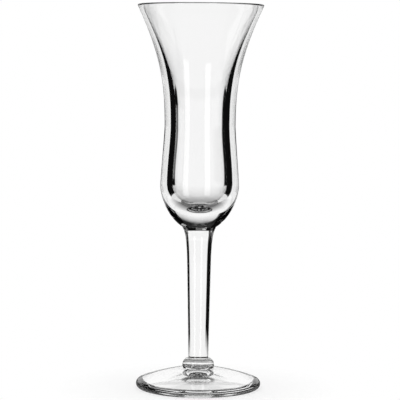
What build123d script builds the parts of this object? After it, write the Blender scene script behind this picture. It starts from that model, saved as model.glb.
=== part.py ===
"""A cordial glass: a flared bowl on a drawn stem, with a bead above a domed foot, fused end to end while hot.

Millimetres, +Z up. The origin is the middle of the ring that the foot stands on.
"""

import os
from math import atan2, cos, degrees, radians, sin, sqrt

from build123d import *

# Foot: a domed disc with a round edge, standing on a narrow flat ring around a hollow
foot_dia = 50.6
foot_rise = 8.2
foot_edge = 3.5
dome_angle = 20.5
ring_width = 2.0
hollow_depth = 3.6

# Knop: a bead whose widest ring lies a little above the foot
knop_height = 4.0
knop_dia = 13.0
bulge_rise = 1.0

# Stem: a straight taper, then a flare into the bowl's seat
stem_length = 53.4
stem_foot_dia = 8.1
neck_dia = 9.6
flare_length = 17.6
flare_angle = 21.0
flare_start_pull = 0.85
flare_end_pull = 0.17

# Bowl, outside: a rounded base, a belly, a waist and a flared mouth
bowl_height = 89.6
bowl_seat_dia = 13.7
base_angle = 58.0
base_start_pull = 0.44
base_end_pull = 0.26
belly_dia = 31.9
belly_rise = 16.7
belly_pull = 0.10
waist_dia = 28.6
waist_rise = 40.5
waist_low_pull = 0.12
waist_high_pull = 0.33
rim_dia = 50.6
rim_angle = 25.0
rim_pull = 0.48

# Bowl, inside: the wall is thick at the belly and waist and thin at the lip
rim_wall = 1.5
lip_round = 0.5
waist_wall = 4.4
belly_wall = 4.8
inner_belly_rise = 17.6
base_thick = 7.4
well_start_pull = 0.77
well_end_pull = 0.46
inner_belly_pull = 0.35
inner_waist_low_pull = 0.31
inner_waist_high_pull = 0.36
inner_rim_pull = 0.64

# Heights of the fused seats
knop_seat = foot_rise
stem_seat = knop_seat + knop_height
bowl_seat = stem_seat + stem_length
rim_height = bowl_seat + bowl_height

# The bead is a round ring: its middle and radius follow from the stem's end and its own widest ring
bead_climb = knop_height - bulge_rise
bead_middle = (knop_dia**2 - stem_foot_dia**2 - 4 * bead_climb**2) / (4 * (knop_dia - stem_foot_dia))
bead_radius = knop_dia / 2 - bead_middle
knop_seat_radius = bead_middle + sqrt(bead_radius**2 - bulge_rise**2)


def at(radius, z):
    """A point of a half outline, in the upright plane through the glass's axis."""
    return (radius, 0, z)


def rise(low, low_angle, low_pull, high, high_angle, high_pull):
    """A smooth outline from one point up to another, leaving and arriving at angles off the upright.

    The pulls say how long it keeps to each angle, as shares of the height that it climbs.
    """
    climb = high[1] - low[1]
    leaving = radians(low_angle)
    arriving = radians(high_angle)
    first = (low[0] + low_pull * climb * sin(leaving), low[1] + low_pull * climb * cos(leaving))
    second = (high[0] - high_pull * climb * sin(arriving), high[1] - high_pull * climb * cos(arriving))
    return Bezier(at(*low), at(*first), at(*second), at(*high))


def turned(*outline):
    """The solid that a closed half outline makes when it is turned about the glass's axis."""
    return revolve(make_face(outline), Axis.Z)


def foot():
    """A solid disc: hollow underneath, flat where it stands, round at its edge and domed on top."""
    edge_radius = foot_edge / 2
    ring_outer = foot_dia / 2 - edge_radius
    ring_inner = ring_outer - ring_width
    slope = radians(dome_angle)
    edge_outermost = at(foot_dia / 2, edge_radius)
    edge_top = at(ring_outer + edge_radius * sin(slope), edge_radius + edge_radius * cos(slope))
    pad_rim = at(knop_seat_radius, foot_rise)
    hollow_top = at(0, hollow_depth)
    return turned(
        TangentArc(hollow_top, at(ring_inner, 0), tangent=(1, 0, 0)),
        Line(at(ring_inner, 0), at(ring_outer, 0)),
        ThreePointArc(at(ring_outer, 0), edge_outermost, edge_top),
        TangentArc(edge_top, pad_rim, tangent=(-cos(slope), 0, sin(slope))),
        Line(pad_rim, at(0, foot_rise)),
        Line(at(0, foot_rise), hollow_top),
    )


def knop():
    """A solid bead, flat where it is fused to the foot below and to the stem above."""
    lower = at(knop_seat_radius, knop_seat)
    widest = at(knop_dia / 2, knop_seat + bulge_rise)
    upper = at(stem_foot_dia / 2, stem_seat)
    return turned(
        Line(at(0, knop_seat), lower),
        ThreePointArc(lower, widest, upper),
        Line(upper, at(0, stem_seat)),
        Line(at(0, stem_seat), at(0, knop_seat)),
    )


def stem():
    """A solid rod that widens slowly upwards and then flares out to the bowl."""
    lower = (stem_foot_dia / 2, stem_seat)
    neck = (neck_dia / 2, bowl_seat - flare_length)
    upper = (bowl_seat_dia / 2, bowl_seat)
    taper_angle = degrees(atan2(neck[0] - lower[0], neck[1] - lower[1]))
    return turned(
        Line(at(0, stem_seat), at(*lower)),
        Line(at(*lower), at(*neck)),
        rise(neck, taper_angle, flare_start_pull, upper, flare_angle, flare_end_pull),
        Line(at(*upper), at(0, bowl_seat)),
        Line(at(0, bowl_seat), at(0, stem_seat)),
    )


def bowl():
    """A thick-based cup with a belly and a waist, opening to a flat lip whose two corners are melted round."""
    seat = (bowl_seat_dia / 2, bowl_seat)
    belly = (belly_dia / 2, bowl_seat + belly_rise)
    waist = (waist_dia / 2, bowl_seat + waist_rise)
    lean = radians(rim_angle)
    lip_flat = (rim_wall - 2 * lip_round) / cos(lean)
    lip_outer_top = (rim_dia / 2 - lip_round, rim_height)
    lip_inner_top = (lip_outer_top[0] - lip_flat, rim_height)
    lip_reach = lip_round * cos(lean)
    lip_drop = lip_round * sin(lean)
    lip_outer = (lip_outer_top[0] + lip_reach, rim_height - lip_round - lip_drop)
    lip_inner = (lip_inner_top[0] - lip_reach, rim_height - lip_round + lip_drop)
    inner_waist = (waist[0] - waist_wall, waist[1])
    inner_belly = (belly[0] - belly_wall, bowl_seat + inner_belly_rise)
    well = (0, bowl_seat + base_thick)
    return turned(
        Line(at(0, bowl_seat), at(*seat)),
        rise(seat, base_angle, base_start_pull, belly, 0, base_end_pull),
        rise(belly, 0, belly_pull, waist, 0, waist_low_pull),
        rise(waist, 0, waist_high_pull, lip_outer, rim_angle, rim_pull),
        TangentArc(at(*lip_outer), at(*lip_outer_top), tangent=(sin(lean), 0, cos(lean))),
        Line(at(*lip_outer_top), at(*lip_inner_top)),
        TangentArc(at(*lip_inner_top), at(*lip_inner), tangent=(-1, 0, 0)),
        rise(inner_waist, 0, inner_waist_high_pull, lip_inner, rim_angle, inner_rim_pull),
        rise(inner_belly, 0, inner_belly_pull, inner_waist, 0, inner_waist_low_pull),
        rise(well, 90, well_start_pull, inner_belly, 0, well_end_pull),
        Line(at(*well), at(0, bowl_seat)),
    )


os.makedirs("parts", exist_ok=True)
for piece in (foot, knop, stem, bowl):
    solid = piece()
    solid.label = piece.__name__
    export_step(solid, f"parts/{piece.__name__}.step")
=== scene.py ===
from math import atan2, cos, hypot, pi, radians, sin, sqrt

import bmesh
import bpy
from mathutils import Matrix, Vector
from mathutils.geometry import interpolate_bezier


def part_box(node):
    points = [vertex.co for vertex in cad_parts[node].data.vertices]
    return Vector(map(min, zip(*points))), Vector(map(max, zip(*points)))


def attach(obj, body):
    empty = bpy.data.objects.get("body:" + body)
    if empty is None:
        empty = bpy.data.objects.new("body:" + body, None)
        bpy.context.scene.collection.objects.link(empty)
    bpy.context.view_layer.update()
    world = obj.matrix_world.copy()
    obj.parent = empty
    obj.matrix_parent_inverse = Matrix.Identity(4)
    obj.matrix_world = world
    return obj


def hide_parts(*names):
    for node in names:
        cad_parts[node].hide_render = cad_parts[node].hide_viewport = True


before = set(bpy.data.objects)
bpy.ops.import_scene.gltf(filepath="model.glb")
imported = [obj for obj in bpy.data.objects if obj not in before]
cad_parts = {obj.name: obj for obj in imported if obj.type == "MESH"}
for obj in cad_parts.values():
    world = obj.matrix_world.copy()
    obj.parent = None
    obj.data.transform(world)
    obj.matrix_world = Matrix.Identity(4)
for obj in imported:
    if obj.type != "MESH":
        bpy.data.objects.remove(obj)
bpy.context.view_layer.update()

# Foot
# A solid disc of clear soda-lime glass, pressed while hot and fire-polished. It is domed on top, round at
# its edge and stands on a flat ring around a shallow hollow; its middle is fused to the bead above it.

MM = 0.001
TURN_STEPS = 256
SHARP_ANGLE = radians(28)
WELD = 0.002 * MM


def bend(start, leaving, end, steps):
    """Points of an arc in the half-section plane, from start to end, leaving at an angle above outwards.

    A chord to any point of an arc leans from the tangent by half of what the arc has turned by there.
    """
    chord = (end[0] - start[0], end[1] - start[1])
    half_turn = (atan2(chord[1], chord[0]) - leaving + pi) % (2 * pi) - pi
    points = []
    for step in range(steps + 1):
        lean = half_turn * step / steps
        reach = hypot(*chord) * sin(lean) / sin(half_turn)
        points.append((start[0] + reach * cos(leaving + lean), start[1] + reach * sin(leaving + lean)))
    return points


def straight(start, end, steps):
    """Evenly spaced points of a straight stretch of a half section."""
    return [tuple(Vector(start).lerp(Vector(end), step / steps)) for step in range(steps + 1)]


def turned(name, half_section, seats):
    """A closed round solid from a half section that starts and ends on the axis.

    The discs at the heights in seats, where a neighbour is fused on, take the second material slot.
    """
    solid = bmesh.new()
    corners = [solid.verts.new((radius, 0, height)) for radius, height in half_section]
    for pair in zip(corners, corners[1:]):
        solid.edges.new(pair)
    bmesh.ops.remove_doubles(solid, verts=solid.verts, dist=WELD)
    bmesh.ops.spin(
        solid,
        geom=solid.verts[:] + solid.edges[:],
        axis=(0, 0, 1),
        angle=2 * pi,
        steps=TURN_STEPS,
        use_merge=True,
    )
    bmesh.ops.remove_doubles(solid, verts=solid.verts, dist=WELD)
    bmesh.ops.recalc_face_normals(solid, faces=solid.faces)
    for face in solid.faces:
        face.smooth = True
        heights = {round(corner.co.z / WELD) for corner in face.verts}
        face.material_index = int(any(heights == {round(seat / WELD)} for seat in seats))
    for edge in solid.edges:
        edge.smooth = edge.calc_face_angle(0) < SHARP_ANGLE
    mesh = bpy.data.meshes.new(name)
    solid.to_mesh(mesh)
    solid.free()
    piece = bpy.data.objects.new(name, mesh)
    bpy.context.collection.objects.link(piece)
    return piece


def linear(hex_colour):
    """An sRGB hex colour as linear red, green, blue and an alpha of 1."""
    shares = [int(hex_colour[place:place + 2], 16) / 255 for place in (0, 2, 4)]
    return [(s / 12.92 if s <= 0.04045 else ((s + 0.055) / 1.055) ** 2.4) for s in shares] + [1.0]


def add_node(tree, kind, settings=None, **inputs):
    """Adds a node, sets its properties, and fills its inputs with values or with other nodes' outputs."""
    node = tree.nodes.new(kind)
    for name, value in (settings or {}).items():
        setattr(node, name, value)
    for name, value in inputs.items():
        key = int(name[1:]) if name[1:].isdigit() else name.replace("_", " ")
        socket = node.inputs[key]
        if isinstance(value, bpy.types.NodeSocket):
            tree.links.new(value, socket)
        else:
            socket.default_value = value
    return node


def soda_lime_glass(name, wave, depth):
    """Clear, hard glass whose surface rises and falls by depth over the width of a wave."""
    roughest = 0.01
    glass = bpy.data.materials.new(name)
    glass.use_nodes = True
    tree = glass.node_tree
    tree.nodes.clear()
    place = add_node(tree, "ShaderNodeTexCoord").outputs["Object"]
    waves = add_node(tree, "ShaderNodeTexNoise", Vector=place, Scale=1 / wave, Detail=1.0).outputs[0]
    relief = add_node(tree, "ShaderNodeBump", Strength=1.0, Distance=depth, Height=waves).outputs[0]
    polish = add_node(tree, "ShaderNodeMapRange", Value=waves, To_Min=0.0, To_Max=roughest).outputs[0]
    shader = add_node(
        tree,
        "ShaderNodeBsdfPrincipled",
        Base_Color=linear("FDFDFD"),
        Transmission_Weight=1.0,
        IOR=1.52,
        Roughness=polish,
        Normal=relief,
    )
    add_node(tree, "ShaderNodeOutputMaterial", Surface=shader.outputs[0])
    return glass


# Pressed soda-lime glass: clear and hard, with a faint waviness left by the mould and softened by the fire,
# so straight edges seen through it or mirrored in it waver a little.
pressed_glass = soda_lime_glass("pressed_soda_lime_glass", wave=7.0 * MM, depth=0.004 * MM)

# Fused joint: where two gathers of the same glass ran together there is no surface left, so light passes on.
fused_joint = bpy.data.materials.new("fused_glass_joint")
fused_joint.use_nodes = True
tree = fused_joint.node_tree
tree.nodes.clear()
add_node(tree, "ShaderNodeOutputMaterial", Surface=add_node(tree, "ShaderNodeBsdfTransparent").outputs[0])

foot_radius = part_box("foot")[1][0]
foot_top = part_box("foot")[1][2]
foot_edge = 3.5 * MM
dome_angle = radians(20.5)
ring_width = 2.0 * MM
hollow_depth = 3.6 * MM
knop_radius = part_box("knop")[1][0]
knop_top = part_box("knop")[1][2]
stem_foot_radius = 4.05 * MM
bulge_rise = 1.0 * MM

# The bead above is part of a round ring, and its lower seat is as wide as the pad on the foot.
bead_climb = knop_top - foot_top - bulge_rise
bead_middle = (knop_radius**2 - stem_foot_radius**2 - bead_climb**2) / (2 * (knop_radius - stem_foot_radius))
bead_radius = knop_radius - bead_middle
pad_radius = bead_middle + sqrt(bead_radius**2 - bulge_rise**2)

edge_radius = foot_edge / 2
ring_outer = foot_radius - edge_radius
ring_inner = ring_outer - ring_width
dome_end = (ring_outer + edge_radius * sin(dome_angle), edge_radius * (1 + cos(dome_angle)))
foot = turned(
    "foot_disc",
    bend((0, hollow_depth), 0, (ring_inner, 0), steps=24)
    + straight((ring_inner, 0), (ring_outer, 0), steps=3)
    + bend((ring_outer, 0), 0, dome_end, steps=32)
    + bend(dome_end, pi - dome_angle, (pad_radius, foot_top), steps=40)
    + straight((pad_radius, foot_top), (0, foot_top), steps=6),
    seats=[foot_top],
)
foot.data.materials.append(pressed_glass)
foot.data.materials.append(fused_joint)
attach(foot, "root")
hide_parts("foot")

# Knop
# A solid bead of the same glass, squeezed round while soft. It is fused to the foot below and to the stem
# above, and leaves a sharp crease at each.
bead_lower = (pad_radius, foot_top)
bead_upper = (stem_foot_radius, knop_top)
bead_start = atan2(pad_radius - bead_middle, bulge_rise)
knop = turned(
    "knop_bead",
    straight((0, foot_top), bead_lower, steps=6)
    + bend(bead_lower, bead_start, bead_upper, steps=40)
    + straight(bead_upper, (0, knop_top), steps=6),
    seats=[foot_top, knop_top],
)
knop.data.materials.append(pressed_glass)
knop.data.materials.append(fused_joint)
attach(knop, "root")
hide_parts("knop")

# Stem
# A solid rod of the same glass, drawn out while hot, so it tapers towards the foot. Its head is flared and
# fused to the underside of the bowl.


def rise(low, low_angle, low_pull, high, high_angle, high_pull, steps):
    """Points of a smooth stretch of a half section, up from low to high.

    It leaves and arrives at angles off the upright, and keeps to each for a share of the climb, its pull.
    """
    climb = high[1] - low[1]
    first = (low[0] + low_pull * climb * sin(low_angle), low[1] + low_pull * climb * cos(low_angle))
    second = (high[0] - high_pull * climb * sin(high_angle), high[1] - high_pull * climb * cos(high_angle))
    knots = [Vector(point) for point in (low, first, second, high)]
    return [tuple(point) for point in interpolate_bezier(*knots, steps + 1)]


# Drawn soda-lime glass: fire-polished and very slowly wavy, so lines seen through it run smoothly.
drawn_glass = soda_lime_glass("drawn_soda_lime_glass", wave=14.0 * MM, depth=0.003 * MM)

bowl_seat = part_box("stem")[1][2]
bowl_seat_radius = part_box("stem")[1][0]
neck_radius = 4.8 * MM
flare_length = 17.6 * MM
flare_angle = radians(21)
flare_start_pull = 0.85
flare_end_pull = 0.17
stem_foot = (stem_foot_radius, knop_top)
neck = (neck_radius, bowl_seat - flare_length)
stem_head = (bowl_seat_radius, bowl_seat)
taper_angle = atan2(neck[0] - stem_foot[0], neck[1] - stem_foot[1])
stem = turned(
    "stem_rod",
    straight((0, knop_top), stem_foot, steps=6)
    + straight(stem_foot, neck, steps=30)
    + rise(neck, taper_angle, flare_start_pull, stem_head, flare_angle, flare_end_pull, steps=60)
    + straight(stem_head, (0, bowl_seat), steps=6),
    seats=[knop_top, bowl_seat],
)
stem.data.materials.append(drawn_glass)
stem.data.materials.append(fused_joint)
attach(stem, "root")
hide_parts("stem")

# Bowl
# A hollow blown in a mould from the same glass: thick at its base and belly, thinner towards the mouth, with
# a lip that was melted round after cutting. Its base is fused to the stem.
rim_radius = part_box("bowl")[1][0]
rim_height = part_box("bowl")[1][2]
rim_angle = radians(25)
rim_pull = 0.48
base_angle = radians(58)
base_start_pull = 0.44
base_end_pull = 0.26
belly_radius = 15.95 * MM
belly_rise = 16.7 * MM
belly_pull = 0.10
waist_radius = 14.3 * MM
waist_rise = 40.5 * MM
waist_low_pull = 0.12
waist_high_pull = 0.33

# The wall is thick at the belly and waist and thin at the lip, so the inside has curves of its own.
rim_wall = 1.5 * MM
lip_round = 0.5 * MM
waist_wall = 4.4 * MM
belly_wall = 4.8 * MM
base_thick = 7.4 * MM
inner_belly_rise = 17.6 * MM
well_start_pull = 0.77
well_end_pull = 0.46
inner_belly_pull = 0.35
inner_waist_low_pull = 0.31
inner_waist_high_pull = 0.36
inner_rim_pull = 0.64

belly = (belly_radius, bowl_seat + belly_rise)
waist = (waist_radius, bowl_seat + waist_rise)
lip_flat = (rim_wall - 2 * lip_round) / cos(rim_angle)
lip_reach = lip_round * cos(rim_angle)
lip_drop = lip_round * sin(rim_angle)
lip_outer_top = (rim_radius - lip_round, rim_height)
lip_inner_top = (lip_outer_top[0] - lip_flat, rim_height)
lip_outer = (lip_outer_top[0] + lip_reach, rim_height - lip_round - lip_drop)
lip_inner = (lip_inner_top[0] - lip_reach, rim_height - lip_round + lip_drop)
inner_waist = (waist_radius - waist_wall, waist[1])
inner_belly = (belly_radius - belly_wall, bowl_seat + inner_belly_rise)
well = (0, bowl_seat + base_thick)
inner_wall = (
    rise(well, radians(90), well_start_pull, inner_belly, 0, well_end_pull, steps=32)
    + rise(inner_belly, 0, inner_belly_pull, inner_waist, 0, inner_waist_low_pull, steps=20)
    + rise(inner_waist, 0, inner_waist_high_pull, lip_inner, rim_angle, inner_rim_pull, steps=32)
)
bowl = turned(
    "bowl_tulip",
    straight((0, bowl_seat), stem_head, steps=6)
    + rise(stem_head, base_angle, base_start_pull, belly, 0, base_end_pull, steps=32)
    + rise(belly, 0, belly_pull, waist, 0, waist_low_pull, steps=20)
    + rise(waist, 0, waist_high_pull, lip_outer, rim_angle, rim_pull, steps=32)
    + bend(lip_outer, pi / 2 - rim_angle, lip_outer_top, steps=12)
    + straight(lip_outer_top, lip_inner_top, steps=3)
    + bend(lip_inner_top, pi, lip_inner, steps=8)
    + inner_wall[::-1],
    seats=[bowl_seat],
)
bowl.data.materials.append(drawn_glass)
bowl.data.materials.append(fused_joint)
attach(bowl, "root")
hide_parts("bowl")

# Table
# A round white table that the glass stands on, painted matt. Towards its edge it runs into the white
# background, so only the soft shadow under the glass shows.
table_radius = 58 * MM
table_fade = 26 * MM
table_drop = 0.02 * MM
table_mesh = bpy.data.meshes.new("table")
top = bmesh.new()
bmesh.ops.create_circle(top, cap_ends=True, segments=96, radius=table_radius)
bmesh.ops.translate(top, verts=top.verts, vec=(0, 0, -table_drop))
top.to_mesh(table_mesh)
top.free()
table = bpy.data.objects.new("table", table_mesh)
bpy.context.collection.objects.link(table)


def fewer_than(limit, count):
    """1 for light that was mirrored, bent or scattered fewer times than limit, by a count of its path."""
    return add_node(tree, "ShaderNodeMath", {"operation": "LESS_THAN"}, _0=count, _1=limit - 0.5).outputs[0]


def overlap(*masks):
    """1 only where all the masks are; a plain number among them dims the rest."""
    shared = masks[0]
    for mask in masks[1:]:
        shared = add_node(tree, "ShaderNodeMath", {"operation": "MULTIPLY"}, _0=shared, _1=mask).outputs[0]
    return shared


def union(*masks):
    """The brightest of the masks at each place."""
    covered = masks[0]
    for mask in masks[1:]:
        covered = add_node(tree, "ShaderNodeMath", {"operation": "MAXIMUM"}, _0=covered, _1=mask).outputs[0]
    return covered


# Matt white paint: it scatters light evenly and shows no gloss. Light that was mirrored inside the glass or
# crossed many walls sees it painted dark grey, a painted shadow ring round the foot, while the middle under
# the bead stays painted bright, a painted pool of light. That draws the foot's dark lines.
bright_middle = 12 * MM
dark_ring = 18 * MM
grey_ring = 21 * MM
ring_grey = 0.17
table_paint_with_painted_shade = bpy.data.materials.new("matt_white_paint_with_painted_shade")
table_paint_with_painted_shade.use_nodes = True
tree = table_paint_with_painted_shade.node_tree
tree.nodes.clear()
place = add_node(tree, "ShaderNodeTexCoord").outputs["Object"]
away = add_node(tree, "ShaderNodeVectorMath", {"operation": "LENGTH"}, _0=place).outputs["Value"]
fade_start = table_radius - table_fade
fade = add_node(tree, "ShaderNodeMapRange", Value=away, From_Min=fade_start, From_Max=table_radius).outputs[0]
near = add_node(tree, "ShaderNodeMapRange", Value=away, From_Min=dark_ring, From_Max=bright_middle).outputs[0]
far = add_node(
    tree, "ShaderNodeMapRange", Value=away, From_Min=dark_ring, From_Max=grey_ring, To_Max=ring_grey
).outputs[0]
path = add_node(tree, "ShaderNodeLightPath").outputs
plain = overlap(fewer_than(1, path["Glossy Depth"]), fewer_than(6, path["Transmission Depth"]))
middle = overlap(near, fewer_than(2, path["Glossy Depth"]))
surround = overlap(far, fewer_than(4, path["Glossy Depth"]))
lit = union(plain, middle, surround, path["Diffuse Depth"])
# Painted shade: where lit is 0 the paint is dark grey 303030 instead of white, a painted shadow that only the
# glass sees.
painted_shade_colour = add_node(
    tree, "ShaderNodeMix", {"data_type": "RGBA"}, Factor=lit, _6=linear("303030"), _7=linear("FAFAFA")
)
paint = add_node(tree, "ShaderNodeBsdfDiffuse", Color=painted_shade_colour.outputs[2])
white = add_node(tree, "ShaderNodeEmission", Color=linear("FFFFFF"), Strength=1.0)
whiten = overlap(fade, plain)
mixed = add_node(tree, "ShaderNodeMixShader", Fac=whiten, _1=paint.outputs[0], _2=white.outputs[0])
add_node(tree, "ShaderNodeOutputMaterial", Surface=mixed.outputs[0])
table_mesh.materials.append(table_paint_with_painted_shade)

# Studio
# White all round, with black cards between white screens, so the glass shows dark lines along its edges.
# The cards and a dark ceiling are seen only in the glass. Angles are in degrees: headings from straight
# behind the glass, as the camera sees it, and elevations from the horizon.
world = bpy.data.worlds.new("studio")
bpy.context.scene.world = world
world.use_nodes = True
tree = world.node_tree
tree.nodes.clear()
direction = add_node(tree, "ShaderNodeTexCoord").outputs["Generated"]
parts = add_node(tree, "ShaderNodeSeparateXYZ", Vector=direction).outputs
heading = add_node(tree, "ShaderNodeMath", {"operation": "ARCTAN2"}, _0=parts["X"], _1=parts["Y"]).outputs[0]
elevation = add_node(tree, "ShaderNodeMath", {"operation": "ARCSINE"}, _0=parts["Z"]).outputs[0]
SOFT = 1.0


def wedge(centre, half_width):
    """1 for headings within half_width of centre, with a narrow soft edge."""
    middle = radians(centre)
    off = add_node(tree, "ShaderNodeMath", {"operation": "SUBTRACT"}, _0=heading, _1=middle).outputs[0]
    turn = add_node(tree, "ShaderNodeMath", {"operation": "WRAP"}, _0=off, _1=pi, _2=-pi).outputs[0]
    apart = add_node(tree, "ShaderNodeMath", {"operation": "ABSOLUTE"}, _0=turn).outputs[0]
    outer = radians(half_width + SOFT)
    inner = radians(half_width - SOFT)
    return add_node(tree, "ShaderNodeMapRange", Value=apart, From_Min=outer, From_Max=inner).outputs[0]


def level(low, high, soft=SOFT):
    """1 for elevations between low and high, with a narrow soft edge."""
    fades = []
    for outer, inner in ((low - soft, low + soft), (high + soft, high - soft)):
        none = sin(radians(outer))
        full = sin(radians(inner))
        fade = add_node(tree, "ShaderNodeMapRange", Value=parts["Z"], From_Min=none, From_Max=full)
        fades.append(fade.outputs[0])
    return overlap(*fades)


def board(centre, half_width, low, high, soft=SOFT):
    """1 on an upright card or screen, by the heading of its middle, half its width, its foot and its top."""
    return overlap(wedge(centre, half_width), level(low, high, soft))


def rest_of(mask):
    """1 where the mask is 0."""
    return add_node(tree, "ShaderNodeMath", {"operation": "SUBTRACT"}, _0=1.0, _1=mask).outputs[0]


def choose(mask, where, elsewhere):
    """One value where the mask is 1 and another elsewhere."""
    return add_node(tree, "ShaderNodeMix", {"data_type": "FLOAT"}, _0=mask, _2=elsewhere, _3=where).outputs[0]


# What the light has met on its way picks the cards and screens that it sees, which no real room does: how
# often it was mirrored, whether it entered the glass, and whether it crossed the bowl's hollow.
path = add_node(tree, "ShaderNodeLightPath").outputs
mirrored = rest_of(fewer_than(1, path["Glossy Depth"]))
once = fewer_than(2, path["Glossy Depth"])
seldom = fewer_than(3, path["Glossy Depth"])
often = rest_of(seldom)
entered = rest_of(fewer_than(1, path["Transmission Depth"]))
across_bowl = rest_of(fewer_than(3, path["Transmission Depth"]))

# Straight through the glass: white walls, a dark ceiling, a floor that darkens behind the bowl, and black
# cards at both sides, which draw the dark lines along the stem and inside the bowl.
CARD_BLACK = 0.995
rear_half = 31.3
off_middle = add_node(tree, "ShaderNodeMath", {"operation": "ABSOLUTE"}, _0=heading).outputs[0]
behind = add_node(
    tree, "ShaderNodeMapRange", Value=off_middle, From_Min=radians(44), From_Max=radians(34)
).outputs[0]
sinking = add_node(
    tree, "ShaderNodeMapRange", Value=elevation, From_Min=radians(-9), From_Max=radians(-56), To_Max=0.98
).outputs[0]
dark_floor = overlap(behind, across_bowl, sinking, level(-53, 89))
below_ceiling = add_node(
    tree,
    "ShaderNodeMapRange",
    {"interpolation_type": "SMOOTHSTEP"},
    Value=elevation,
    From_Min=radians(26),
    From_Max=radians(57),
    To_Min=1.0,
    To_Max=0.03,
).outputs[0]
stem_cards = union(board(61, 19, -7.5, 65, soft=0.35), board(-54.65, 23.35, -7.5, 65, soft=0.35))
bowl_cards = union(board(52.25, 25.75, -10.5, 31), board(-52.25, 25.75, -10.5, 31))
cards = overlap(choose(across_bowl, bowl_cards, stem_cards), CARD_BLACK)
through = overlap(rest_of(dark_floor), below_ceiling, rest_of(cards))

# Mirrored on the outside: white screens behind, beside and in front of the glass, and two bright strips
# in front, which draw the long highlights.
SCREEN_WHITE = 0.9
STRIP_WHITE = 2.5
FAINT = 0.004
aside = rest_of(wedge(0, rear_half))
front = wedge(180, 70)
rear_screens = union(
    board(0, rear_half, -14.5, -2.5),
    board(0, rear_half, 4, 45),
    overlap(aside, board(0, 54, -18.5, -11)),
)
low_sides = overlap(rest_of(front), level(-34, -19))
side_walls = overlap(rest_of(wedge(0, 57)), union(low_sides, level(22, 60)))
front_screen = board(180, 70, -9.5, 70)
screens = union(rear_screens, side_walls, front_screen)
strips = union(board(-138, 8, -27, 50), board(157, 8, -27, 50))
lit_screens = add_node(
    tree, "ShaderNodeMath", {"operation": "MULTIPLY_ADD"}, _0=screens, _1=SCREEN_WHITE, _2=FAINT
).outputs[0]
on_outside = add_node(
    tree, "ShaderNodeMath", {"operation": "MULTIPLY_ADD"}, _0=strips, _1=STRIP_WHITE, _2=lit_screens
).outputs[0]

# Mirrored inside the walls: the rear screen, the floor and ceiling beside it, the front and small side
# screens. Light that was mirrored often sees fewer of them, so it makes the walls' dark lines.
low_end = add_node(
    tree,
    "ShaderNodeMapRange",
    Value=elevation,
    From_Min=radians(-56),
    From_Max=radians(-24),
    To_Min=0.02,
    To_Max=1.0,
).outputs[0]
rear = overlap(below_ceiling, wedge(0, rear_half), low_end)
rear_seldom = overlap(rear, rest_of(overlap(across_bowl, level(-80, 3))))
rear_often = overlap(rear, level(3, 89), rest_of(across_bowl))
rear_screen = choose(often, rear_often, rear_seldom)
floor_white = 0.78
floor_beside = overlap(aside, level(-62, -28.2, soft=0.5), seldom, floor_white)
ceiling_white = 0.9
ceiling_beside = overlap(aside, level(30, 58), once, ceiling_white)
steep = rest_of(level(-25, 25))
front_white = 0.95
front_wall = overlap(front, union(across_bowl, steep), seldom, front_white)
front_high_white = 0.85
front_high = overlap(board(180, 40, 9, 24), often, front_high_white)
low_pair_white = 0.9
low_pair = overlap(union(board(67, 28, -18, -6), board(-67, 28, -18, -6)), often, low_pair_white)
side_screens = union(overlap(board(-90, 22, -5, 35), seldom), board(-45, 18, 18, 50), board(135, 22, 6, 45))
around = union(floor_beside, ceiling_beside, front_wall, front_high, low_pair, side_screens)
inside_screens = union(rear_screen, around)
in_walls = add_node(tree, "ShaderNodeMath", {"operation": "ADD"}, _0=inside_screens, _1=FAINT).outputs[0]

# The glass shows this studio; the camera and the matt table see plain white all round.
pattern = choose(mirrored, choose(entered, in_walls, on_outside), through)
in_glass = overlap(
    fewer_than(1, path["Diffuse Depth"]), union(path["Is Glossy Ray"], path["Is Transmission Ray"])
)
sky = add_node(
    tree, "ShaderNodeBackground", Color=linear("FFFFFF"), Strength=choose(in_glass, pattern, 1.0)
)
add_node(tree, "ShaderNodeOutputWorld", Surface=sky.outputs[0])

# Camera
# A long lens 0.7 m from the glass and a little lower than its mouth, looking slightly down.
IMAGE_SIDE = 400
camera_distance = 714 * MM
camera_height = 133.6 * MM
camera_aside = 0.2 * MM
camera_pitch = radians(4.577)
camera_roll = radians(0.45)
focal_pixels = 1772
camera_data = bpy.data.cameras.new("camera")
camera_data.sensor_width = 36
camera_data.lens = camera_data.sensor_width * focal_pixels / IMAGE_SIDE
camera = bpy.data.objects.new("camera", camera_data)
bpy.context.collection.objects.link(camera)
camera.location = (camera_aside, -camera_distance, camera_height)
looking = Matrix.Rotation(pi / 2 - camera_pitch, 3, "X") @ Matrix.Rotation(camera_roll, 3, "Z")
camera.rotation_euler = looking.to_euler()
bpy.context.scene.camera = camera
bpy.context.scene.view_settings.view_transform = "Standard"

# Light passes through many walls of the glass before it leaves, and reaches the table under the foot through
# glass as clear as it looks, so that the foot casts no false shade.
bpy.context.scene.cycles.max_bounces = 32
bpy.context.scene.cycles.transmission_bounces = 32
bpy.context.scene.cycles.glossy_bounces = 11
bpy.context.scene.cycles.transparent_max_bounces = 32
bpy.context.scene.cycles.blur_glossy = 0.0
